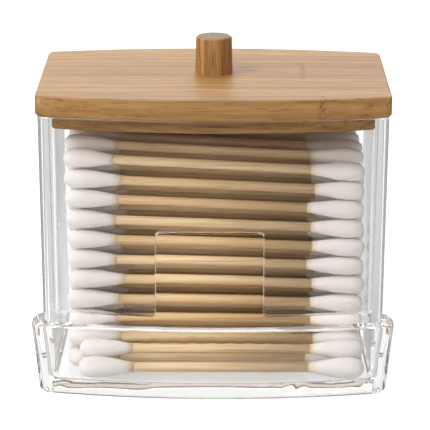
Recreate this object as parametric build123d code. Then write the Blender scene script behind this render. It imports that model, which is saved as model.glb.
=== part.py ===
from build123d import *
import math
import os
import random

os.makedirs("parts", exist_ok=True)

# Cotton swab holder: a clear moulded box with a dispensing trough, a bamboo lid
# with a knob, and a filling of cotton swabs. Millimetres, +Z up. The front of
# the holder faces -Y, and the swabs lie along X.

# Cotton swabs. The box is made to hold this length of swab.
swab_length = 73.5
swab_length_spread = 0.6
stick_diameter = 2.4
cotton_diameter = 4.7
cotton_end_diameter = 3.0
cotton_length = 13.4
cotton_length_spread = 1.0
cotton_shoulder = 3.6  # from the end of the swab to its widest place
cotton_neck_diameter = 2.6
swab_sides = 6  # the swabs are many, so each is a plain prism

# Stacking of the swabs
swab_columns = 10
swab_layers = 11
column_pitch = 4.6
layer_pitch_left = 5.18
layer_pitch_right = 4.83
swab_gap = 0.15  # between a swab and the wall or floor that it lies against
stack_jitter = 0.05
loose_jitter = 0.2  # at the left ends, where the pile is looser
swab_end_gap_right = 2.7  # from the mouth's inner side to the swab ends
swab_end_gap_left = 4.0
swab_end_jitter = 0.3
room_above_swabs = 2.7  # from the stack to the lid

# Clear box
wall = 2.9
floor_thickness = 3.5
box_bow = 5.0  # how far the front and the back swell out in the middle
bow_used = 0.45  # how far the outer columns of swabs reach into the bow
box_draft = 0.75  # degrees, each outer and inner wall leans out towards the mouth
outer_corner = 2.4  # upright corners of the box and the trough's front
inner_corner = 2.2
foot_edge = 1.1  # every edge is eased with a narrow flat of this size
inner_edge = 0.9  # along the floor of the box and the trough
mouth_edge = 0.35

# Dispensing trough at the foot of the front wall
trough_rim_height = 18.6
trough_side_step = 1.65  # from the mouth's side to the trough's side, at the rim
trough_reach = 8.5  # from the box front to the rim, at the sides
trough_flare = 5.6  # degrees, outward lean of the trough's front and sides
trough_rear_corner = 4.5
trough_rim_edge = 0.6

# Opening under the front wall, and the finger notch above it
front_gap_height = 19.1  # lower edge of the front wall, from the ground
notch_width = 26.6
notch_top = 40.4
notch_round = 1.0
notch_shift = -0.8  # the notch stands a little left of the middle

# Bamboo lid
lid_overhang = 0.5  # beyond the box mouth, all round
lid_thickness = 5.4
lid_corner = 2.0
lid_top_edge = 0.4
lid_bottom_edge = 0.7
plug_clearance = 0.4
plug_thickness = 3.5
plug_corner = 1.0
plug_edge = 0.3

# Knob and its screw
knob_foot_diameter = 9.5
knob_top_diameter = 9.0
knob_height = 9.4
knob_back = 1.5  # the knob stands a little behind the middle of the lid
knob_edge = 0.45
screw_diameter = 3.0
screw_length = 15.5
screw_head_diameter = 5.6
screw_hole_clearance = 0.1  # on the radius, through both boards

# Swabs lying in the trough
trough_swab_shortfall = 3.0  # how much shorter they are than the swabs of the stack
fluffed_diameter = 5.2  # the front one's cotton has come loose
trough_swab_forward = 3.2  # from the box front at the sides to the front one's middle line
rear_swab_back = 3.4  # how far the rear one lies behind the front one
rear_swab_rise = 3.62  # and above it

# The box's own sizes follow from the filling.
box_mouth_width = swab_length + swab_end_gap_left + swab_end_gap_right + 2 * wall
stack_depth = (swab_columns - 1) * column_pitch + cotton_diameter
box_mouth_depth = stack_depth + 2 * (wall - bow_used)  # at the sides, without the bow
lowest_swab_z = floor_thickness + swab_gap + cotton_diameter / 2
highest_swab_z = lowest_swab_z + (swab_layers - 0.5) * max(layer_pitch_left, layer_pitch_right)
box_height = highest_swab_z + cotton_diameter / 2 + room_above_swabs + plug_thickness
trough_rim_width = box_mouth_width + 2 * trough_side_step
half_mouth_depth = box_mouth_depth / 2
lean = math.tan(math.radians(box_draft))
flare = math.tan(math.radians(trough_flare))
corner_flats = 3

# The origin lies under the middle of the whole footprint, on the ground. The box's
# own middle line stands behind it, because the trough reaches out at the front only.
front_reach = half_mouth_depth + trough_reach + box_bow
back_reach = half_mouth_depth + lid_overhang + box_bow
box_axis_y = (front_reach - back_reach) / 2


def flat_cornered(plan, corner):
    """A plan with each small corner arc drawn as three flats, which have few facets and look as soft."""
    edges = []
    for edge in plan.edges():
        if edge.length > 2 * corner:
            edges.append(edge)
        else:
            points = [edge @ (step / corner_flats) for step in range(corner_flats + 1)]
            edges += [Line(start, end) for start, end in zip(points, points[1:])]
    return make_face(Curve() + edges)


def bowed_plan(width, depth, bow, corner):
    """A rectangle with eased corners whose front and back edges are shallow arcs."""
    half_w = width / 2
    half_d = depth / 2
    front = ThreePointArc((-half_w, -half_d), (0, -half_d - bow), (half_w, -half_d))
    right = Line((half_w, -half_d), (half_w, half_d))
    back = ThreePointArc((half_w, half_d), (0, half_d + bow), (-half_w, half_d))
    left = Line((-half_w, half_d), (-half_w, -half_d))
    plan = make_face(Curve() + [front, right, back, left])
    return flat_cornered(fillet(plan.vertices(), corner), corner)


def box_plan(height, inset=0.0):
    """The box's plan at one height, drawn in by inset. The draft makes it wider higher up."""
    grow = 2 * lean * (height - box_height) - 2 * inset
    corner = inner_corner if inset else outer_corner
    plan = bowed_plan(box_mouth_width + grow, box_mouth_depth + grow, box_bow, corner)
    return Pos(0, 0, height) * plan


def box_body(low, high, inset=0.0):
    """The space inside the drafted walls between two heights."""
    return extrude(box_plan(high, inset), low - high, taper=box_draft)


def trough_plan(height, inset=0.0):
    """The trough's plan at one height: bowed front, flared sides, large corners at the rear."""
    grow = flare * (height - trough_rim_height) - inset
    half_w = trough_rim_width / 2 + grow
    front_y = -half_mouth_depth - trough_reach - grow
    rear_y = -half_mouth_depth + outer_corner
    front = ThreePointArc((-half_w, front_y), (0, front_y - box_bow), (half_w, front_y))
    right = Line((half_w, front_y), (half_w, rear_y))
    rear = Line((half_w, rear_y), (-half_w, rear_y))
    left = Line((-half_w, rear_y), (-half_w, front_y))
    plan = make_face(Curve() + [front, right, rear, left])
    rear_corner = trough_rear_corner - inset
    plan = fillet(plan.vertices().sort_by(Axis.Y)[-2:], rear_corner)
    plan = flat_cornered(plan, rear_corner)
    front_corner = inner_corner if inset else outer_corner
    plan = fillet(plan.vertices().sort_by(Axis.Y)[:2], front_corner)
    return Pos(0, 0, height) * flat_cornered(plan, front_corner)


def trough_body(low, high, inset=0.0):
    """The space inside the trough's flared walls between two heights."""
    return loft([trough_plan(low, inset), trough_plan(high, inset)], ruled=True)


def eased_below(solid, size):
    """Ease the edges round a solid's lowest face."""
    return chamfer(solid.faces().sort_by(Axis.Z)[0].edges(), size)


def eased_above(solid, size):
    """Ease the edges round a solid's highest face."""
    return chamfer(solid.faces().sort_by(Axis.Z)[-1].edges(), size)


def front_opening():
    """What is missing from the front wall: the gap above the floor and the finger notch."""
    half_floor = box_mouth_width / 2 - wall + lean * (floor_thickness - box_height)
    half_gap = box_mouth_width / 2 - wall + lean * (front_gap_height - box_height)
    gap = Polyline(
        (-half_floor, floor_thickness),
        (half_floor, floor_thickness),
        (half_gap, front_gap_height),
        (-half_gap, front_gap_height),
        close=True,
    )
    gap_face = make_face(gap)
    gap_face = chamfer(gap_face.vertices().sort_by(Axis.Y)[:2], inner_edge)
    middle = (front_gap_height + floor_thickness) / 2
    notch = Pos(notch_shift, (middle + notch_top) / 2) * Rectangle(notch_width, notch_top - middle)
    outline = gap_face + notch
    inner_corners = [v for v in outline.vertices() if v.Y > middle and abs(v.X - notch_shift) < notch_width]
    outline = fillet(inner_corners, notch_round)
    inside = Plane.XZ.offset(half_mouth_depth - 2 * wall)
    return extrude(inside * outline, 2 * wall + box_bow) & box_body(0, box_height)


def clear_box():
    """The one moulding: drafted box, trough, gap and notch, with its edges eased."""
    box = eased_below(box_body(0, box_height), foot_edge)
    trough = eased_below(trough_body(0, trough_rim_height), foot_edge)
    trough = eased_above(trough, trough_rim_edge)
    box_cavity = eased_below(box_body(floor_thickness, box_height + 1, wall), inner_edge)
    trough_cavity = eased_below(trough_body(floor_thickness, trough_rim_height + 1, wall), inner_edge)
    shell = box + trough
    shell -= box_cavity
    shell -= trough_cavity - box_body(0, box_height)
    shell -= front_opening()
    return eased_above(shell, mouth_edge)


def eased_board(width, depth, corner, low, high):
    """A flat board with the bowed plan of the box."""
    return extrude(Pos(0, 0, low) * bowed_plan(width, depth, box_bow, corner), high - low)


lid_underside = box_height
lid_top = box_height + lid_thickness
plug_underside = lid_underside - plug_thickness
screw_head_height = (screw_head_diameter - screw_diameter) / 2


def screw_hole(low, high):
    """The clearance hole through the boards, countersunk where the head sits."""
    radius = screw_diameter / 2 + screw_hole_clearance
    head_radius = screw_head_diameter / 2 + screw_hole_clearance
    hole = Pos(0, knob_back, (low + high) / 2) * Cylinder(radius, high - low)
    sink = Pos(0, knob_back, plug_underside + screw_head_height / 2) * Cone(
        head_radius, radius, screw_head_height
    )
    return hole + sink


def lid_plate():
    """The bamboo board that covers the mouth."""
    width = box_mouth_width + 2 * lid_overhang
    depth = box_mouth_depth + 2 * lid_overhang
    board = eased_board(width, depth, lid_corner, lid_underside, lid_top)
    board = eased_above(board, lid_top_edge)
    board = eased_below(board, lid_bottom_edge)
    return board - screw_hole(plug_underside, lid_top)


def lid_plug():
    """The thinner board glued under the plate. It drops inside the walls of the mouth."""
    inset = 2 * (wall + plug_clearance)
    width = box_mouth_width - inset - 2 * lean * plug_thickness
    depth = box_mouth_depth - inset - 2 * lean * plug_thickness
    board = eased_board(width, depth, plug_corner, plug_underside, lid_underside)
    board = eased_below(board, plug_edge)
    return board - screw_hole(plug_underside, lid_top)


def knob():
    """A turned pin, a little thinner towards its eased top, with a pilot hole for the screw."""
    pin = Pos(0, knob_back, lid_top + knob_height / 2) * Cone(
        knob_foot_diameter / 2, knob_top_diameter / 2, knob_height
    )
    pin = chamfer(pin.edges().sort_by(Axis.Z)[-1], knob_edge)
    pilot_depth = plug_underside + screw_length - lid_top
    pilot = Pos(0, knob_back, lid_top + pilot_depth / 2) * Cylinder(screw_diameter / 2, pilot_depth)
    return pin - pilot


def knob_screw():
    """A countersunk wood screw, driven up through both boards into the knob."""
    head = Pos(0, knob_back, plug_underside + screw_head_height / 2) * Cone(
        screw_head_diameter / 2, screw_diameter / 2, screw_head_height
    )
    shank = Pos(0, knob_back, plug_underside + screw_length / 2) * Cylinder(screw_diameter / 2, screw_length)
    return head + shank


def flat_sided(rings):
    """A solid along +Z with flat sides, through rings that are each a height and a diameter."""
    steps = [2 * math.pi * side / swab_sides for side in range(swab_sides)]
    corners = [
        [Vector(math.cos(turn) * diameter / 2, math.sin(turn) * diameter / 2, z) for turn in steps]
        for z, diameter in rings
    ]
    faces = [Face(Wire.make_polygon(ring)) for ring in (corners[0], corners[-1])]
    for lower, upper in zip(corners, corners[1:]):
        for here in range(swab_sides):
            there = (here + 1) % swab_sides
            side = [lower[here], lower[there], upper[there], upper[here]]
            faces.append(Face(Wire.make_polygon(side)))
    return Solid(Shell(faces))


def cotton_tip(length, widest_diameter=cotton_diameter):
    """A tip with its outer end at the origin. It swells, and then thins down to the stick."""
    end = (0, cotton_end_diameter)
    widest = (cotton_shoulder, widest_diameter)
    neck = (length, cotton_neck_diameter)
    return flat_sided([end, widest, neck])


# The cotton is wound by machine, so its length varies only a little from tip to tip.
cotton_lengths = [cotton_length + step * cotton_length_spread for step in (-1, 0, 1)]
tips_by_length = {length: cotton_tip(length) for length in cotton_lengths}


def swab(left, right, left_cotton, right_cotton, tips=tips_by_length):
    """The stick and the two tips of the swab that reaches from left to right."""
    along = (right - left).normalized()
    upright = (0, 0, 1)
    stick_plane = Plane(left + along * left_cotton, x_dir=upright, z_dir=along)
    stick_length = (right - left).length - left_cotton - right_cotton
    stick = stick_plane * flat_sided([(0, stick_diameter), (stick_length, stick_diameter)])
    left_tip = Plane(left, x_dir=upright, z_dir=along) * tips[left_cotton]
    right_tip = Plane(right, x_dir=upright, z_dir=-along) * tips[right_cotton]
    return stick, left_tip, right_tip


def stacked_swab(column, layer, shake):
    """One swab of the stack. The layers fan out towards the left, because the pile is looser there.
    Each end leans a little towards the middle of the pile, never into the wall."""
    half_row = layer + 0.5 * (column % 2)
    middle_column = (swab_columns - 1) / 2
    y = (column - middle_column) * column_pitch
    right_x = box_mouth_width / 2 - wall - swab_end_gap_right + shake.uniform(-1, 1) * swab_end_jitter
    length = swab_length + shake.uniform(-1, 1) * swab_length_spread
    ends = []
    for x, pitch, jitter in (
        (right_x - length, layer_pitch_left, loose_jitter),
        (right_x, layer_pitch_right, stack_jitter),
    ):
        end_y = y - math.copysign(shake.uniform(0, 1) * stack_jitter, y)
        end_z = lowest_swab_z + half_row * pitch + shake.uniform(0, 1) * jitter
        ends.append(Vector(x, end_y, end_z))
    return swab(*ends, shake.choice(cotton_lengths), shake.choice(cotton_lengths))


def trough_swabs():
    """The two swabs in the trough. The rear one lies in the valley between the front one and the stack."""
    front_y = -half_mouth_depth - trough_swab_forward
    front_z = floor_thickness + swab_gap + fluffed_diameter / 2
    right_x = box_mouth_width / 2 - wall - swab_end_gap_right
    left_x = right_x - swab_length + trough_swab_shortfall
    front_left = Vector(left_x, front_y, front_z)
    front_right = Vector(right_x, front_y, front_z)
    rear_left = front_left + Vector(0, rear_swab_back, rear_swab_rise)
    rear_right = front_right + Vector(0, rear_swab_back, rear_swab_rise)
    fluffed = {cotton_length: cotton_tip(cotton_length, fluffed_diameter)}
    front = swab(front_left, front_right, cotton_length, cotton_length, fluffed)
    rear = swab(rear_left, rear_right, cotton_length, cotton_length)
    return [front, rear]


def swab_nodes(swabs, sticks_name, tips_name):
    """The sticks of a group of swabs as one node, and their cotton tips as another."""
    sticks = [stick for stick, left_tip, right_tip in swabs]
    tips = [tip for stick, left_tip, right_tip in swabs for tip in (left_tip, right_tip)]
    return {sticks_name: Compound(sticks), tips_name: Compound(tips)}


pieces = {
    "clear_box": clear_box(),
    "lid_plate": lid_plate(),
    "lid_plug": lid_plug(),
    "knob": knob(),
    "knob_screw": knob_screw(),
}
shake = random.Random(12)
for layer in range(swab_layers):
    row = [stacked_swab(column, layer, shake) for column in range(swab_columns)]
    number = f"{layer + 1:02d}"
    pieces.update(swab_nodes(row, "swab_sticks_layer_" + number, "cotton_tips_layer_" + number))
pieces.update(swab_nodes(trough_swabs(), "trough_swab_sticks", "trough_cotton_tips"))

for name, piece in pieces.items():
    export_step(Pos(0, box_axis_y, 0) * piece, "parts/" + name + ".step")
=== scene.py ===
import math

import bmesh
import bpy
import numpy as np
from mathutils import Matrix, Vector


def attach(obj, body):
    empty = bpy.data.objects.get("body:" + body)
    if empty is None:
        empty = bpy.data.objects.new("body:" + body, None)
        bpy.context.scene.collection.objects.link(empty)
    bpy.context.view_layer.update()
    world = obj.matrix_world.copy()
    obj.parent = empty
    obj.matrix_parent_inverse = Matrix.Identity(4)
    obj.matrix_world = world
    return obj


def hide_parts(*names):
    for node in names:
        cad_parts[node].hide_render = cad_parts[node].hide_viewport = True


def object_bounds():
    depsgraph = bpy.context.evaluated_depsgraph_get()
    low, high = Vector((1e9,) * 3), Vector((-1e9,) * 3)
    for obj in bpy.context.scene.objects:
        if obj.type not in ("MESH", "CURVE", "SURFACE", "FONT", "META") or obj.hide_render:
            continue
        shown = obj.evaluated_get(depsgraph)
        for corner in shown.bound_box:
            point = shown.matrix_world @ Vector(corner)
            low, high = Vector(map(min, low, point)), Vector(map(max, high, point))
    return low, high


# Cotton swab holder: a clear box with a dispensing trough, filled with cotton swabs, under a
# bamboo lid with a knob. Metres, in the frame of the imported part: +Z up, front towards -Y.
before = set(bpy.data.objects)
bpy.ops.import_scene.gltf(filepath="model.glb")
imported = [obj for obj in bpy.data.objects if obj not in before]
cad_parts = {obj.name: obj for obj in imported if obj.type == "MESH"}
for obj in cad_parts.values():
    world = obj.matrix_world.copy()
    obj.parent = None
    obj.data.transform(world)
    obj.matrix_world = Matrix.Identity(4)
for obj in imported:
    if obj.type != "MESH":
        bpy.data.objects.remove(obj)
cad_low, cad_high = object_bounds()
MM = 0.001


# Clear box. One injection moulding in clear acrylic: the drafted box, the flared trough and
# the front wall with its finger notch. The polished mould leaves every face glossy.

NOTCH_X_MM = (-14.2, 12.6)  # a frame round the finger notch
NOTCH_Z_MM = (19.6, 40.5)
NOTCH_EDGE_MM = 0.5  # radius of its rounded rim
NOTCH_EDGE_STEPS = 2
ROUND_PROFILE = 0.5  # what Bevel calls a round
SHARP = math.radians(60)
SAME_SURFACE = math.radians(12)
SMOOTH_ANGLE = math.radians(50)
SAME_POINT_MM = 0.001
LEAST_SLOPE = 1e-3  # where the triangles spread by less than this share, the slope is level
TINY = 1e-12  # in place of a length of nothing

ACRYLIC_IOR = 1.49
ACRYLIC_ROUGHNESS = 0.02
ACRYLIC_TINT = "#FBFCFC"
ACRYLIC_SHADE = "#FAFAFA"  # what each face lets through to the things behind it
LIGHT_TURNS = 48  # how often light may turn inside the walls
PAINTED_EDGE_GLOW = 0.007  # painted glow on the walls, an emission where 1 is white
PAINTED_EDGE_GLOW_TINT = "#FFF4EC"
PAINTED_GLOW_TURNS = 2.5  # the painted glow shows only where light turned more often than this


def linear(hex_colour):
    """An sRGB colour such as "#A0B0C0" as the linear RGBA that a shader takes."""
    parts = [int(hex_colour[place:place + 2], 16) / 255 for place in (1, 3, 5)]
    return [part / 12.92 if part <= 0.04045 else ((part + 0.055) / 1.055) ** 2.4 for part in parts] + [1.0]


def add_node(tree, kind, *values, stops=(), **settings):
    """A new node of a kind such as "Math". Values fill the inputs that it uses, from the first on.
    Settings in small letters are the node's own, and the others are inputs by their labels, with
    _ for a space. A value is a number or a colour, or a node or an output to link. stops are the
    places and colours along a ramp."""
    made = tree.nodes.new("ShaderNode" + kind)
    for key, value in settings.items():
        if key.islower():
            setattr(made, key, value)
    fed = list(zip([socket for socket in made.inputs if socket.enabled], values))
    fed += [(made.inputs[key.replace("_", " ")], settings[key]) for key in settings if not key.islower()]
    for socket, value in fed:
        if hasattr(value, "outputs"):
            value = next(output for output in value.outputs if output.enabled)
        if hasattr(value, "links"):
            tree.links.new(value, socket)
        else:
            socket.default_value = value
    if stops:
        elements = made.color_ramp.elements
        while len(elements) < len(stops):
            elements.new(0.5)
        for element, (place, colour) in zip(elements, stops):
            element.position = place
            element.color = colour
    return made


def new_material(name):
    """A material without nodes, and its node tree."""
    material = bpy.data.materials.new(name)
    material.use_nodes = True
    material.node_tree.nodes.clear()
    return material, material.node_tree


def labels_of(count, first, second):
    """A label for each of count things, the same for all that the pairs first-second join."""
    label = np.arange(count)
    while True:
        lowest = np.minimum(label[first], label[second])
        spread = label.copy()
        np.minimum.at(spread, first, lowest)
        np.minimum.at(spread, second, lowest)
        if (spread == label).all():
            return np.unique(label, return_inverse=True)[1]
        label = spread


def at_length_one(vectors):
    """Vectors divided by their own lengths."""
    return vectors / np.maximum(np.linalg.norm(vectors, axis=1), TINY)[:, None]


def true_normals(mesh):
    """The normal of each corner of a triangle mesh, as the curved surface has it.
    Triangles that meet at less than SAME_SURFACE belong to one surface, whose normal is taken as
    a linear function of place, fitted to theirs. Where surfaces meet at less than SMOOTH_ANGLE,
    a corner takes the mean of their normals, weighted by their areas, so a narrow flat between
    two walls is shaded as a round."""
    faces = len(mesh.polygons)
    corner_point = np.empty(faces * 3, dtype=np.int64)
    corner_edge = np.empty(faces * 3, dtype=np.int64)
    mesh.loops.foreach_get("vertex_index", corner_point)
    mesh.loops.foreach_get("edge_index", corner_edge)
    place = np.empty(len(mesh.vertices) * 3)
    mesh.vertices.foreach_get("co", place)
    triangle = place.reshape(-1, 3)[corner_point].reshape(-1, 3, 3)
    cross = np.cross(triangle[:, 1] - triangle[:, 0], triangle[:, 2] - triangle[:, 0])
    area = np.linalg.norm(cross, axis=1)
    normal = at_length_one(cross)

    order = np.argsort(corner_edge, kind="stable")
    joined = corner_edge[order[1:]] == corner_edge[order[:-1]]
    first, second = order[:-1][joined] // 3, order[1:][joined] // 3
    alike = (normal[first] * normal[second]).sum(axis=1) > math.cos(SAME_SURFACE)
    surface = labels_of(faces, first[alike], second[alike])
    corner_normal = np.empty((faces * 3, 3))
    for label in range(surface.max() + 1):
        mine = np.flatnonzero(surface == label)
        middle = triangle[mine].mean(axis=1)
        centre = middle.mean(axis=0)
        known = np.hstack([(middle - centre) / MM, np.ones((len(mine), 1))]) * area[mine, None]
        slope = np.linalg.lstsq(known, normal[mine] * area[mine, None], rcond=LEAST_SLOPE)[0]
        corners = (triangle[mine].reshape(-1, 3) - centre) / MM
        fitted = np.hstack([corners, np.ones((len(corners), 1))]) @ slope
        corner_normal[(mine[:, None] * 3 + np.arange(3)).reshape(-1)] = at_length_one(fitted)

    weight = np.bincount(surface, area)[surface].repeat(3)
    order = np.argsort(corner_point, kind="stable")
    start = np.searchsorted(corner_point[order], np.arange(len(mesh.vertices) + 1))
    total = np.zeros((faces * 3, 3))
    for step in range(int(np.diff(start).max())):
        place_in_order = start[corner_point] + step
        here = place_in_order < start[corner_point + 1]
        other = order[np.minimum(place_in_order, len(order) - 1)]
        near = (corner_normal * corner_normal[other]).sum(axis=1) > math.cos(SMOOTH_ANGLE)
        total += corner_normal[other] * (weight[other] * here * near)[:, None]
    return at_length_one(total)


def put_in_order(mesh):
    """Number the triangles of a mesh anew, each from its lowest corner on and then by their
    corners, because joining and rounding may leave them in another order at each run."""
    place = np.empty(len(mesh.vertices) * 3)
    mesh.vertices.foreach_get("co", place)
    corner = np.empty(len(mesh.loops), dtype=np.int64)
    mesh.loops.foreach_get("vertex_index", corner)
    triangle = corner.reshape(-1, 3)
    turn = (triangle.argmin(axis=1)[:, None] + np.arange(3)) % 3
    triangle = np.take_along_axis(triangle, turn, axis=1)
    mesh.clear_geometry()
    mesh.from_pydata(place.reshape(-1, 3), [], triangle[np.lexsort(triangle.T)].tolist())


def smooth_copy(node_name, piece_name, ease=None):
    """A piece with the shape of a CAD node, its loose triangles joined and its rounds shaded smooth.
    ease may round some edges of the joined mesh before that."""
    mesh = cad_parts[node_name].data.copy()
    mesh.name = piece_name
    mesh.materials.clear()
    joined = bmesh.new()
    joined.from_mesh(mesh)
    bmesh.ops.remove_doubles(joined, verts=joined.verts, dist=SAME_POINT_MM * MM)
    if ease:
        ease(joined)
    joined.to_mesh(mesh)
    joined.free()
    put_in_order(mesh)
    mesh.shade_smooth()
    mesh.normals_split_custom_set(true_normals(mesh).tolist())
    piece = bpy.data.objects.new(piece_name, mesh)
    bpy.context.scene.collection.objects.link(piece)
    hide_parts(node_name)
    return piece


def ease_notch(joined):
    """Round the rim of the finger notch. Inside its frame the front wall has no other sharp edges."""
    rim = []
    for edge in joined.edges:
        middle = (edge.verts[0].co + edge.verts[1].co) / 2 / MM
        framed = NOTCH_X_MM[0] < middle.x < NOTCH_X_MM[1] and NOTCH_Z_MM[0] < middle.z < NOTCH_Z_MM[1]
        if framed and middle.y < 0 and edge.calc_face_angle(0) > SHARP:
            rim.append(edge)
    bmesh.ops.bevel(
        joined, geom=rim, offset=NOTCH_EDGE_MM * MM, offset_type="OFFSET",
        segments=NOTCH_EDGE_STEPS, profile=ROUND_PROFILE, affect="EDGES",
    )
    bmesh.ops.triangulate(joined, faces=joined.faces)


box = smooth_copy("clear_box", "acrylic_box", ease_notch)

# Clear acrylic refracts what is behind it, and light may turn many times inside its walls
# before it leaves them. Light that only passes through to the swabs is let straight past,
# because a thin clear wall casts almost no shadow.
light_paths = bpy.context.scene.cycles
light_paths.max_bounces = LIGHT_TURNS
light_paths.glossy_bounces = LIGHT_TURNS
light_paths.transmission_bounces = LIGHT_TURNS
light_paths.transparent_max_bounces = LIGHT_TURNS

acrylic, tree = new_material("moulded_clear_acrylic")
path = add_node(tree, "LightPath").outputs
# Painted glow: seen after many turns, the walls give off a faint emission, in place of the light that they
# lead along to their edges.
many_turns = add_node(tree, "Math", path["Glossy Depth"], PAINTED_GLOW_TURNS, operation="GREATER_THAN")
glow = add_node(tree, "Math", many_turns, PAINTED_EDGE_GLOW, operation="MULTIPLY")
shader = add_node(
    tree, "BsdfPrincipled", Base_Color=linear(ACRYLIC_TINT), Roughness=ACRYLIC_ROUGHNESS, IOR=ACRYLIC_IOR,
    Transmission_Weight=1.0, Emission_Color=linear(PAINTED_EDGE_GLOW_TINT), Emission_Strength=glow,
)
past = add_node(tree, "Math", path["Is Shadow Ray"], path["Is Diffuse Ray"], operation="MAXIMUM")
clear = add_node(tree, "BsdfTransparent", linear(ACRYLIC_SHADE))
add_node(tree, "OutputMaterial", add_node(tree, "MixShader", past, shader, clear))
box.data.materials.append(acrylic)
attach(box, "holder")


# Swab sticks. Thin round sticks split from bamboo and polished, one for each cotton swab. They
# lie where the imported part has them, and the cotton is wound over both ends.

STICK_RADIUS_MM = 1.2
STICK_SIDES = 12
STICK_REACH_MM = 0.6  # how far a stick reaches into its cotton
STICK_RINGS = 2  # rings of corners of the flat-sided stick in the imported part
RING_CORNERS = 6
NEAREST_DIGIT = 7  # places alike to this digit of a metre are one corner
DICE_SEED = 7

STICK_TONES = ("#DAB080", "#EED0A6", "#F6DEB8")  # from dark to light
TONE_STOPS = (0.3, 0.5, 0.7)  # values of the noise that take these tones
STICK_FIBRE_MM = (20.0, 0.4, 0.4)  # real ones are about half as wide, too fine to show
STICK_FIBRE_DETAIL = 3.0
STICK_ROUGHNESS = 0.55
OLD_CANE = "#E6DAC8"  # laid over the sticks of the darkest cane
WHITE = (1, 1, 1, 1)


def rings_of(node_name, rings):
    """The rings of corners of each flat-sided solid of a CAD node, from left to right, as an array
    of solids x rings x corners x 3. Each corner is found once, the solids are told apart by the
    triangles that join their corners, and the corners of each are sorted along X."""
    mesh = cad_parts[node_name].data
    place = np.empty(len(mesh.vertices) * 3)
    mesh.vertices.foreach_get("co", place)
    corner = np.empty(len(mesh.loops), dtype=np.int64)
    mesh.loops.foreach_get("vertex_index", corner)
    place, same = np.unique(place.reshape(-1, 3).round(NEAREST_DIGIT), axis=0, return_inverse=True)
    triangle = same.reshape(-1)[corner].reshape(-1, 3)
    solid = labels_of(len(place), triangle.reshape(-1), np.roll(triangle, 1, axis=1).reshape(-1))
    solids = place[np.argsort(solid, kind="stable")].reshape(-1, rings * RING_CORNERS, 3)
    order = np.argsort(solids[:, :, 0], axis=1)
    return np.take_along_axis(solids, order[:, :, None], axis=1).reshape(-1, rings, RING_CORNERS, 3)


def turned(starts, ends, distances, radii, sides):
    """Surfaces of revolution, one for each start and end. A point lies at a distance along the
    axis, and a radius away from it, at each of the even turns round it."""
    axis = at_length_one(ends - starts)
    across = at_length_one(np.cross(axis, (0, 0, 1)))
    upward = np.cross(axis, across)
    turn = np.arange(sides) * 2 * math.pi / sides
    ring = across[:, None] * np.cos(turn)[None, :, None] + upward[:, None] * np.sin(turn)[None, :, None]
    middle = starts[:, None, None] + axis[:, None, None] * distances[:, :, None, None]
    return (middle + ring[:, None] * radii[:, :, None, None]).reshape(-1, 3)


def swab_parts(name, points, count, sides, **attributes):
    """A piece of count turned shapes, closed at both ends. Its faces join each point to the next
    one round its ring and to those on the next ring. attributes give a value to each point."""
    ring = np.arange(len(points)).reshape(count, -1, sides)
    following = np.roll(ring, -1, axis=2)
    corners = [ring[:, :-1], following[:, :-1], following[:, 1:], ring[:, 1:]]
    walls = np.stack(corners, axis=-1).reshape(-1, 4).tolist()
    caps = ring[:, 0, ::-1].tolist() + ring[:, -1].tolist()
    mesh = bpy.data.meshes.new(name)
    mesh.from_pydata(points, [], walls + caps)
    mesh.polygons.foreach_set("use_smooth", [True] * len(walls) + [False] * len(caps))
    for label, values in attributes.items():
        mesh.attributes.new(label, "FLOAT", "POINT").data.foreach_set("value", values)
    piece = bpy.data.objects.new(name, mesh)
    bpy.context.scene.collection.objects.link(piece)
    return piece


def fibre_marks(tree, place, sizes_mm, detail, roughness=0.6):
    """The uneven marks of fibres: noise at a place, divided by the size that the marks have along
    each axis."""
    moved = add_node(tree, "VectorMath", place, [size * MM for size in sizes_mm], operation="DIVIDE")
    return add_node(tree, "TexNoise", moved, Scale=1.0, Detail=detail, Roughness=roughness)


# Pale bamboo with fine fibres along the stick. Sticks differ in tone, as cut from the cane, and
# the polish leaves a dull gloss.
stick_bamboo, tree = new_material("polished_bamboo_stick")
place = add_node(tree, "TexCoord").outputs["Object"]
fibres = fibre_marks(tree, place, STICK_FIBRE_MM, STICK_FIBRE_DETAIL)
grain = add_node(tree, "ValToRGB", fibres, stops=list(zip(TONE_STOPS, map(linear, STICK_TONES))))
tone = add_node(tree, "Attribute", attribute_name="tone").outputs["Fac"]
cane = add_node(tree, "ValToRGB", tone, stops=[(0.0, linear(OLD_CANE)), (1.0, WHITE)])
colour = add_node(tree, "Mix", 1.0, grain, cane, data_type="RGBA", blend_type="MULTIPLY")
shader = add_node(tree, "BsdfPrincipled", Base_Color=colour, Roughness=STICK_ROUGHNESS)
add_node(tree, "OutputMaterial", shader)

dice = np.random.default_rng(DICE_SEED)
for name in sorted(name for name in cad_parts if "swab_sticks" in name):
    middles = rings_of(name, STICK_RINGS).mean(axis=2)
    starts, ends = middles[:, 0], middles[:, 1]
    length = np.linalg.norm(ends - starts, axis=1)[:, None]
    reach = STICK_REACH_MM * MM
    distances = np.hstack([np.full_like(length, -reach), length + reach])
    radii = np.full_like(distances, STICK_RADIUS_MM * MM)
    points = turned(starts, ends, distances, radii, STICK_SIDES)
    tones = np.repeat(dice.random(len(starts)), STICK_RINGS * STICK_SIDES)
    piece = swab_parts("bamboo_" + name, points, len(starts), STICK_SIDES, tone=tones)
    piece.data.materials.append(stick_bamboo)
    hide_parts(name)
    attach(piece, "holder")


# Cotton tips. Cotton fibre wound by machine round the end of each stick, fullest near the tip,
# and thin where it runs out on the bamboo. No two are quite alike.

TIP_SIDES = 10
TIP_RINGS = 3  # rings of corners of the flat-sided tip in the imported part
TIP_LENGTH_MM = 13.4
TIP_RADIUS_MM = 2.35
# Distance from the tip and radius there.
TIP_PROFILE_MM = [(0.0, 0.3), (0.25, 1.2), (1.2, 2.08), (3.4, 2.46), (6.6, 2.3), (10.4, 1.64), (14.2, 1.08)]
TIP_UNEVENNESS = 0.025

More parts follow.
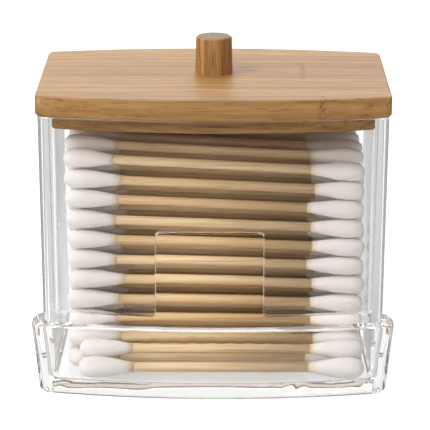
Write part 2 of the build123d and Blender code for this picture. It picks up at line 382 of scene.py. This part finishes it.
COTTON_WHITE = "#F5EDE8"
COTTON_ROUGHNESS = 0.95
COTTON_SHEEN = 0.15
COTTON_GLOW = 0.6  # share of the light that spreads in the loose fibre
COTTON_GLOW_MM = 1.5
COTTON_GLOW_REACH = (1.0, 0.95, 0.9)  # of red, green and blue, as a share of that
FLUFF_MM = (0.45, 1.2, 1.2)  # tufts, as single fibres are too fine to show
FLUFF_DETAIL = 4.0
FLUFF_ROUGHNESS = 0.65
FLUFF_BUMP = 0.5
FLUFF_BUMP_MM = 0.3
MIDDLE_NOISE = 0.5
FADE_START = 0.86  # share of the length at which the bamboo begins to show through
FADE_NOISE = 0.25
BLACK = (0, 0, 0, 1)

# Carded cotton fibre, matt and soft. Its last turns are so thin that the bamboo shows through.
cotton, tree = new_material("wound_cotton")
place = add_node(tree, "TexCoord").outputs["Object"]
fluff = fibre_marks(tree, place, FLUFF_MM, FLUFF_DETAIL, FLUFF_ROUGHNESS)
uneven = add_node(tree, "Math", fluff, MIDDLE_NOISE, operation="SUBTRACT")
ragged = add_node(tree, "Math", uneven, FADE_NOISE, operation="MULTIPLY")
along = add_node(tree, "Attribute", attribute_name="along").outputs["Fac"]
fade = add_node(tree, "Math", along, ragged, operation="ADD")
bare = add_node(tree, "ValToRGB", fade, stops=[(FADE_START, BLACK), (1.0, WHITE)])
colour = add_node(tree, "Mix", bare, linear(COTTON_WHITE), linear(STICK_TONES[1]), data_type="RGBA")
bump = add_node(tree, "Bump", Strength=FLUFF_BUMP, Distance=FLUFF_BUMP_MM * MM, Height=fluff)
shader = add_node(
    tree, "BsdfPrincipled", Base_Color=colour, Roughness=COTTON_ROUGHNESS, Sheen_Weight=COTTON_SHEEN,
    Subsurface_Weight=COTTON_GLOW, Subsurface_Radius=COTTON_GLOW_REACH,
    Subsurface_Scale=COTTON_GLOW_MM * MM, Normal=bump,
)
add_node(tree, "OutputMaterial", shader)

profile = np.array(TIP_PROFILE_MM) * MM
for name in sorted(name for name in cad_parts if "cotton_tips" in name):
    rings = rings_of(name, TIP_RINGS)
    middles = rings.mean(axis=2)
    # The outer end of a tip is the one that lies nearer to its middle ring.
    to_left, to_right = np.linalg.norm(middles[:, (0, 2)] - middles[:, 1:2], axis=2).T
    outer_is_left = (to_left < to_right)[:, None]
    starts = np.where(outer_is_left, middles[:, 0], middles[:, 2])
    ends = np.where(outer_is_left, middles[:, 2], middles[:, 0])
    length = np.linalg.norm(ends - starts, axis=1)[:, None]
    distances = profile[:, 0] * length / (TIP_LENGTH_MM * MM)
    girth = np.linalg.norm(rings[:, 1] - middles[:, 1:2], axis=2).mean(axis=1)[:, None]
    fullness = girth / (TIP_RADIUS_MM * MM)
    swell = 1 + (fullness - 1) * (profile[:, 1] / (TIP_RADIUS_MM * MM))
    radii = profile[:, 1] * swell * (1 - TIP_UNEVENNESS * dice.random(distances.shape))
    points = turned(starts, ends, distances, radii, TIP_SIDES)
    along = np.tile(np.repeat(profile[:, 0] / (TIP_LENGTH_MM * MM), TIP_SIDES), len(starts))
    piece = swab_parts("wound_" + name, points, len(starts), TIP_SIDES, along=along)
    piece.data.materials.append(cotton)
    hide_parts(name)
    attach(piece, "holder")


# Lid plate. A board of pressed bamboo strips, cut to the bowed outline, sanded and oiled. It
# lies on the rim of the box. The strips run from left to right, with nodes across them.

LID_TONES = ("#966A36", "#B3864C", "#C4985E")  # from dark to light
LID_FIBRE = "#7A4F26"
LID_ROUGHNESS = 0.4
LID_FIBRE_MM = (14.0, 0.5, 0.5)  # length along X, and width, coarser than real so as to show
LID_STREAK_MM = (125.0, 2.7, 1.7)
STREAK_DETAIL = 3.0
FIBRE_DETAIL = 4.0
FIBRE_ROUGHNESS = 0.7
FIBRE_STOPS = (0.5, 0.68)  # values of the noise at which a fibre begins, and is darkest
FIBRE_BUMP = 0.12
FIBRE_BUMP_MM = 0.2

STRIP_WIDTH_MM = 19.0
STRIP_START_MM = -2.0  # where strip 0 begins, along Y
STRIP_CONTRAST = 0.45  # how far a strip may go towards the dark tone
STRIP_STEP = 0.382  # from the tone of a strip to that of the next, as a share of the contrast
PALE_STRIP = 1  # the strip with no darkening
NODE_DEPTH = 0.95  # how far a node goes towards the colour of the fibres
NODE_SPACING_MM = 300.0  # from one node to the next along a cane
NODE_PLACE_MM = 23.8  # in strip 0
NODE_SHIFT_MM = 148.0  # from strip to strip
NODE_HALF_WIDTH_MM = 1.3
NODE_WANDER_MM = (1000.0, 1.5, 1.5)  # a node is a wavy line
NODE_WANDER_REACH_MM = 2.6
NODE_FLECK_MM = (0.9, 0.5, 0.5)  # made of short dark flecks
NODE_FLECK_STOPS = (0.4, 0.55)
NODE_DETAIL = 2.0


def node_marks(tree, place, strip):
    """1 on the node that crosses a strip, and 0 elsewhere. From strip to strip the nodes shift
    along X by the same length, and they repeat at the spacing of the nodes of a cane."""
    half = NODE_SPACING_MM / 2 * MM
    shifted = add_node(
        tree, "Math", strip, NODE_SHIFT_MM * MM, NODE_PLACE_MM * MM, operation="MULTIPLY_ADD"
    )
    node_x = add_node(tree, "Math", shifted, half, -half, operation="WRAP")
    waves = fibre_marks(tree, place, NODE_WANDER_MM, NODE_DETAIL)
    wander = add_node(tree, "Math", waves, NODE_WANDER_REACH_MM * MM, operation="MULTIPLY")
    along = add_node(tree, "SeparateXYZ", place).outputs["X"]
    wavy = add_node(tree, "Math", along, wander, operation="ADD")
    from_node = add_node(tree, "Math", wavy, node_x, operation="SUBTRACT")
    away = add_node(tree, "Math", from_node, operation="ABSOLUTE")
    share = add_node(tree, "Math", away, NODE_HALF_WIDTH_MM * MM, operation="DIVIDE")
    inside = add_node(tree, "Math", 1.0, share, operation="SUBTRACT")
    band = add_node(tree, "Math", inside, 0.0, operation="MAXIMUM")
    specks = fibre_marks(tree, place, NODE_FLECK_MM, NODE_DETAIL)
    flecks = add_node(tree, "ValToRGB", specks, stops=list(zip(NODE_FLECK_STOPS, (BLACK, WHITE))))
    return add_node(tree, "Math", band, flecks, operation="MULTIPLY")


def strips_and_nodes(tree, place, colour):
    """The colour of a board with the tones of its strips, counted along Y, and the nodes across
    them. The tone of a strip is the fraction of its number times STRIP_STEP."""
    along_y = add_node(tree, "SeparateXYZ", place).outputs["Y"]
    across = add_node(tree, "Math", along_y, STRIP_START_MM * MM, operation="SUBTRACT")
    widths = add_node(tree, "Math", across, STRIP_WIDTH_MM * MM, operation="DIVIDE")
    strip = add_node(tree, "Math", widths, operation="FLOOR")
    from_pale = add_node(tree, "Math", strip, PALE_STRIP, operation="SUBTRACT")
    steps = add_node(tree, "Math", from_pale, STRIP_STEP, operation="MULTIPLY")
    own_tone = add_node(tree, "Math", steps, operation="FRACT")
    darker = add_node(tree, "Math", own_tone, STRIP_CONTRAST, operation="MULTIPLY")
    colour = add_node(tree, "Mix", darker, colour, linear(LID_TONES[0]), data_type="RGBA")
    marks = add_node(tree, "Math", node_marks(tree, place, strip), NODE_DEPTH, operation="MULTIPLY")
    return add_node(tree, "Mix", marks, colour, linear(LID_FIBRE), data_type="RGBA")


def bamboo(name, tones, fibre_tone, fibre_mm, streak_mm, roughness, finish=None):
    """Bamboo with long soft streaks in three tones and thin dark fibres over them. Both run along
    the axis on which they are longest. finish may change the colour at a place."""
    material, tree = new_material(name)
    place = add_node(tree, "TexCoord").outputs["Object"]
    streaks = fibre_marks(tree, place, streak_mm, STREAK_DETAIL)
    tone = add_node(tree, "ValToRGB", streaks, stops=list(zip(TONE_STOPS, map(linear, tones))))
    fibres = fibre_marks(tree, place, fibre_mm, FIBRE_DETAIL, FIBRE_ROUGHNESS)
    dark = add_node(tree, "ValToRGB", fibres, stops=list(zip(FIBRE_STOPS, (BLACK, WHITE))))
    colour = add_node(tree, "Mix", dark, tone, linear(fibre_tone), data_type="RGBA")
    if finish:
        colour = finish(tree, place, colour)
    bump = add_node(tree, "Bump", Strength=FIBRE_BUMP, Distance=FIBRE_BUMP_MM * MM, Height=fibres)
    shader = add_node(tree, "BsdfPrincipled", Base_Color=colour, Roughness=roughness, Normal=bump)
    add_node(tree, "OutputMaterial", shader)
    return material


plate = smooth_copy("lid_plate", "bamboo_lid_plate")
# Oil warms the bamboo and gives it a soft gloss, in which the strips differ in tone.
oiled_board = bamboo(
    "oiled_bamboo_board", LID_TONES, LID_FIBRE, LID_FIBRE_MM, LID_STREAK_MM, LID_ROUGHNESS, strips_and_nodes
)
plate.data.materials.append(oiled_board)
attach(plate, "lid")


# Lid plug. A thinner bamboo board glued under the plate. It drops into the mouth and stops the
# lid from sliding off. It is seen through the clear wall, in the shade of the plate.

# The plug's tones and fibres are a little darker than the plate's: painted shade, for the shade of the plate
# above it.
SHADED_PLUG_TONES = ("#906129", "#AB7B3D", "#C09052")
SHADED_PLUG_FIBRE = "#6B4420"
PLUG_ROUGHNESS = 0.6

plug = smooth_copy("lid_plug", "bamboo_lid_plug")
# Left without oil, the bamboo has less gloss, and its darker tones are painted shade.
raw_board = bamboo("raw_bamboo_board", SHADED_PLUG_TONES, SHADED_PLUG_FIBRE, LID_FIBRE_MM, LID_STREAK_MM, PLUG_ROUGHNESS)
plug.data.materials.append(raw_board)
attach(plug, "lid")


# Knob. A short turned bamboo pin, standing on the plate, with its fibres upright and its cut
# end grain on top. The screw from below holds it.

KNOB_TONES = ("#9A6C38", "#B5854B", "#C8995F")
KNOB_FIBRE = "#6E4522"
KNOB_ROUGHNESS = 0.5
KNOB_FIBRE_MM = (0.53, 0.53, 16.0)
KNOB_STREAK_MM = (2.0, 2.0, 80.0)
END_GRAIN = "#7A6650"
END_GRAIN_SHARE = 0.8  # how far the cut end takes that colour
END_DEPTH_MM = 0.1


def end_grain(tree, place, colour):
    """The colour of the knob with its cut end. The fibres there soak up more oil, so all that lies
    within END_DEPTH_MM of the top is greyer and darker."""
    height = add_node(tree, "SeparateXYZ", place).outputs["Z"]
    on_top = add_node(
        tree, "Math", height, float(cad_high[2]) - END_DEPTH_MM * MM, operation="GREATER_THAN"
    )
    share = add_node(tree, "Math", on_top, END_GRAIN_SHARE, operation="MULTIPLY")
    return add_node(tree, "Mix", share, colour, linear(END_GRAIN), data_type="RGBA")


knob = smooth_copy("knob", "bamboo_knob")
# Turned along the fibre, the pin shows fine upright lines and a dull gloss.
turned_bamboo = bamboo(
    "turned_bamboo", KNOB_TONES, KNOB_FIBRE, KNOB_FIBRE_MM, KNOB_STREAK_MM, KNOB_ROUGHNESS, end_grain
)
knob.data.materials.append(turned_bamboo)
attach(knob, "lid")


# Knob screw. A zinc plated countersunk wood screw, driven up through both boards. Its head is
# flush with the underside of the plug, and only it can be seen, when the lid is lifted.

ZINC = "#B9BCC0"
ZINC_ROUGHNESS = 0.35

screw = smooth_copy("knob_screw", "steel_knob_screw")
# Bright zinc, a pale grey metal with a satin gloss.
zinc, tree = new_material("zinc_plated_steel")
shader = add_node(
    tree, "BsdfPrincipled", Base_Color=linear(ZINC), Metallic=1.0, Roughness=ZINC_ROUGHNESS
)
add_node(tree, "OutputMaterial", shader)
screw.data.materials.append(zinc)
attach(screw, "lid")


# Floor. A sheet of matt white paper. Seen directly or through the box, it is bright enough to
# vanish into the white behind it, and keeps only the soft shadow at the foot of the box.

FLOOR_SIZE = 6.0  # metres
FLOOR_GAP_MM = 0.05  # a thin film of air stays under the box
FLOOR_SEEN = "#B4B4B4"
FLOOR_GLOW = 0.7  # added where it is seen, so that the floor is as white as the sky behind it
FLOOR_BOUNCE = "#E6E6E6"  # as it throws light back at the object
FLOOR_MIRRORED = "#343434"  # as the front walls mirror it, so that little haze lies on them
FLOOR_ROUGHNESS = 0.9
FRONT_EDGE_MM = -42.0  # the paper is dark only in front of this place
# The share of the paper's light that is lost after 0, 1, 2 and more turns in a wall.
TURN_LOSS = (0.0, 0.46, 0.15, 0.72)
HALF_TURN = 0.5  # turns are whole numbers, so each is told apart at half a turn from it

floor_half = FLOOR_SIZE / 2
floor_corners = [(-floor_half, -floor_half, 0), (floor_half, -floor_half, 0)]
floor_corners += [(floor_half, floor_half, 0), (-floor_half, floor_half, 0)]
floor_mesh = bpy.data.meshes.new("floor")
floor_mesh.from_pydata(floor_corners, [], [(0, 1, 2, 3)])
floor = bpy.data.objects.new("floor", floor_mesh)
floor.location = (0, 0, cad_low[2] - FLOOR_GAP_MM * MM)
bpy.context.scene.collection.objects.link(floor)

paper, tree = new_material("white_paper")
path = add_node(tree, "LightPath").outputs
# Light that turned once in the front wall is the mirror image on its inner face, left dark too.
turned_once = add_node(tree, "Math", path["Glossy Depth"], 1.0, HALF_TURN, operation="COMPARE")
place = add_node(tree, "TexCoord").outputs["Object"]
depth = add_node(tree, "SeparateXYZ", place).outputs["Y"]
in_front = add_node(tree, "Math", depth, FRONT_EDGE_MM * MM, operation="LESS_THAN")
lost_ahead = add_node(tree, "Math", turned_once, in_front, operation="MULTIPLY")
turns = add_node(tree, "Math", path["Glossy Depth"], len(TURN_LOSS), operation="DIVIDE")
steps = [max(number - HALF_TURN, 0) / len(TURN_LOSS) for number in range(len(TURN_LOSS))]
losses = [(loss, loss, loss, 1) for loss in TURN_LOSS]
lost_aside = add_node(tree, "ValToRGB", turns, stops=list(zip(steps, losses)))
lost_aside.color_ramp.interpolation = "CONSTANT"
lost = add_node(tree, "Math", lost_ahead, lost_aside, operation="MAXIMUM")
seen_through = add_node(tree, "Math", path["Is Transmission Ray"], lost, operation="SUBTRACT")
seen = add_node(tree, "Math", path["Is Camera Ray"], seen_through, operation="MAXIMUM")
unseen = add_node(
    tree, "Mix", path["Is Glossy Ray"], linear(FLOOR_BOUNCE), linear(FLOOR_MIRRORED), data_type="RGBA"
)
colour = add_node(tree, "Mix", seen, unseen, linear(FLOOR_SEEN), data_type="RGBA")
glow = add_node(tree, "Math", seen, FLOOR_GLOW, operation="MULTIPLY")
shader = add_node(
    tree, "BsdfPrincipled", Base_Color=colour, Roughness=FLOOR_ROUGHNESS,
    Emission_Color=WHITE, Emission_Strength=glow,
)
add_node(tree, "OutputMaterial", shader)
floor_mesh.materials.append(paper)


# Sky and soft boxes. A product photograph in a white light tent. The clear box needs something
# darker beside it, or its edges would not show, so the sky is grey at both sides.

SKY_LIGHT = 0.58  # as it lights the object, where 1 is white
SKY_MIRRORED = 0.95  # as gloss mirrors it
SIDE_GREY = "#6C6B6A"
# How far to the side the sky turns grey and white again, where 1 is straight to the side.
SIDE_STOPS = (0.42, 0.52, 0.8, 0.9)
AIM = (0, 0, 0.04)
# Name, place, size in metres and power in watts.
SOFT_BOXES = [
    ("key", (-0.75, -0.35, 0.9), 0.5, 8.0),
    ("front", (-0.45, -1.05, 0.75), 0.9, 5.8),
    ("back", (0.0, 0.7, 0.9), 0.8, 4.6),
]

world = bpy.data.worlds.new("studio")
world.use_nodes = True
bpy.context.scene.world = world
tree = world.node_tree
tree.nodes.clear()
way = add_node(tree, "TexCoord").outputs["Generated"]
sideways = add_node(tree, "Math", add_node(tree, "SeparateXYZ", way).outputs["X"], operation="ABSOLUTE")
side_grey = linear(SIDE_GREY)
sky = add_node(tree, "ValToRGB", sideways, stops=list(zip(SIDE_STOPS, (WHITE, side_grey, side_grey, WHITE))))
path = add_node(tree, "LightPath").outputs
colour = add_node(tree, "Mix", path["Is Camera Ray"], sky, WHITE, data_type="RGBA")
seen = add_node(tree, "Math", path["Is Camera Ray"], path["Is Transmission Ray"], operation="MAXIMUM")
mirrored = add_node(tree, "Math", path["Is Glossy Ray"], SKY_MIRRORED, operation="MULTIPLY")
brightest = add_node(tree, "Math", seen, mirrored, operation="MAXIMUM")
strength = add_node(tree, "Math", brightest, SKY_LIGHT, operation="MAXIMUM")
add_node(tree, "OutputWorld", add_node(tree, "Background", colour, strength))

for name, place, size, power in SOFT_BOXES:
    soft_box = bpy.data.lights.new(name, "AREA")
    soft_box.shape = "SQUARE"
    soft_box.size = size
    soft_box.energy = power
    stand = bpy.data.objects.new(name, soft_box)
    stand.location = place
    way = np.subtract(AIM, place)
    tilt = math.acos(-way[2] / np.linalg.norm(way))
    stand.rotation_euler = (tilt, 0, math.atan2(way[1], way[0]) - math.pi / 2)
    bpy.context.scene.collection.objects.link(stand)


# Camera. The photograph was taken from a little above the lid, from about 0.6 m away, with a
# long lens. The place and the angles come from a fit to the edges of the lid, box and trough.

CAMERA_PLACE_MM = (2.3, -588.2, 204.2)
CAMERA_PITCH = 15.76  # degrees below the horizon
CAMERA_TURN = 0.23
CAMERA_ROLL = -0.16
PHOTO_PIXELS = 430
FOCAL_PIXELS = 2391.7
SENSOR_WIDTH_MM = 36.0
NEAREST_SEEN_MM = 10.0

camera_data = bpy.data.cameras.new("camera")
camera_data.sensor_width = SENSOR_WIDTH_MM
camera_data.lens = FOCAL_PIXELS / PHOTO_PIXELS * SENSOR_WIDTH_MM
camera_data.clip_start = NEAREST_SEEN_MM * MM
camera = bpy.data.objects.new("camera", camera_data)
camera.location = [value * MM for value in CAMERA_PLACE_MM]
camera.rotation_euler = [math.radians(angle) for angle in (90 - CAMERA_PITCH, CAMERA_ROLL, CAMERA_TURN)]
bpy.context.scene.collection.objects.link(camera)
bpy.context.scene.camera = camera
bpy.context.scene.view_settings.view_transform = "Standard"
